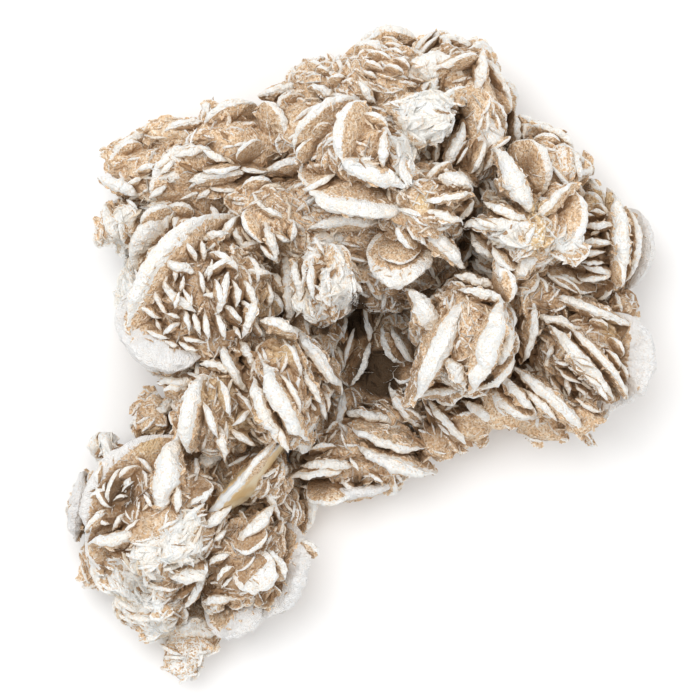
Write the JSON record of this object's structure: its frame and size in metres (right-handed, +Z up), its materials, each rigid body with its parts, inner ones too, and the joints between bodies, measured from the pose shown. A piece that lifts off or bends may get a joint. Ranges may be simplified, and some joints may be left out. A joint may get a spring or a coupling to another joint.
{
  "type": "gypsum sand rose",
  "caption": "Natural cluster of intergrown lens-shaped gypsum crystals with sandy faces and chalky rims, lying on its worn underside.",
  "frame": {"origin": "on the largest worn patch of the underside, below the middle of the cluster", "axes": "+Z up, away from the surface it rests on; +Y towards the top of the cluster as it is seen from above, +X to the right"},
  "size_m": [0.1478, 0.1642, 0.0664],
  "materials": {
    "gypsum": "sandy matt faces, chalky white crystal rims"
  },
  "bodies": {
    "root": {"sand_rose": "gypsum"}
  },
  "joints": []
}
